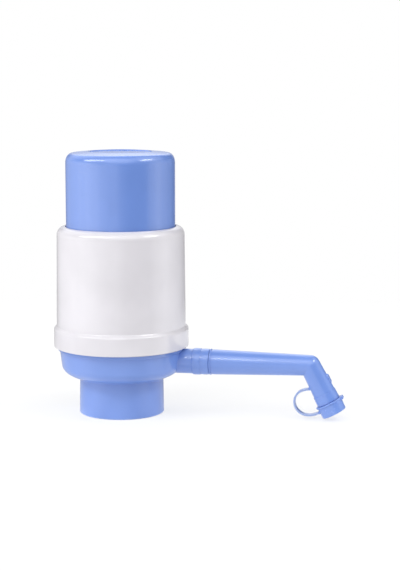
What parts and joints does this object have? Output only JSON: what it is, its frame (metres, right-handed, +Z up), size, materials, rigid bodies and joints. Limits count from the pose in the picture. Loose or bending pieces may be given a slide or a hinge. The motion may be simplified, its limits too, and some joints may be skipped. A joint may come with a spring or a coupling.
{
  "type": "water jug hand pump",
  "caption": "Bellows hand pump for a bottled-water jug: push cap in a round sleeve on a bowl and neck collar, with a swivel spout and a strapped dust cap.",
  "frame": {"origin": "centre of the neck collar's bottom face, on the pump's upright axis", "axes": "+Z up along the pump's axis, towards the push cap; +X along the spout, away from the body"},
  "size_m": [0.2136, 0.0982, 0.1905],
  "materials": {
    "blue_plastic": "glossy moulded polypropylene, cornflower blue",
    "blue_soft_plastic": "softer moulded polyethylene, same blue, slightly duller",
    "white_plastic": "glossy moulded white plastic",
    "inner_plastic": "natural white moulded polypropylene, satin",
    "bellows_rubber": "milky soft blow-moulded rubber",
    "soft_seal": "translucent silicone, satin",
    "ring_rubber": "black nitrile rubber",
    "screw_steel": "zinc-plated steel"
  },
  "bodies": {
    "pump_body": {"base_bowl": "blue_plastic", "neck_gasket": "soft_seal", "water_elbow": "inner_plastic", "elbow_ring_seal": "ring_rubber", "suction_bush": "soft_seal", "gland_washer": "soft_seal", "gland_nut": "blue_plastic", "deck_seal": "soft_seal", "valve_deck": "inner_plastic", "deck_screws": "screw_steel", "outlet_flap_valve": "soft_seal", "lower_clamp_ring": "inner_plastic", "outer_sleeve": "white_plastic", "bellows": "bellows_rubber"},
    "push_head": {"push_cap": "blue_plastic", "cap_insert": "inner_plastic", "insert_screws": "screw_steel", "inlet_flap_valve": "soft_seal", "upper_clamp_ring": "inner_plastic"},
    "spout_arm": {"spout": "blue_plastic", "spout_ring_seal": "ring_rubber", "spout_retaining_ring": "inner_plastic", "cap_strap": "blue_soft_plastic"},
    "dust_cover": {"dust_cap": "blue_soft_plastic"}
  },
  "joints": [
    {"name": "push_stroke", "type": "slide", "parent": "pump_body", "child": "push_head", "axis": [0, 0, -1], "range_m": [0, 0.048], "stiffness_N_per_m": 250, "springref_m": -0.012, "deforming": ["bellows"]},
    {"name": "spout_swivel", "type": "hinge", "parent": "pump_body", "child": "spout_arm", "pos_m": [0.0613, 0, 0.03885], "axis": [1, 0, 0], "continuous": true},
    {"name": "dust_cap_pull", "type": "slide", "parent": "spout_arm", "child": "dust_cover", "axis": [0.4648, 0, -0.8854], "range_m": [0, 0.015], "deforming": ["cap_strap"]}
  ]
}
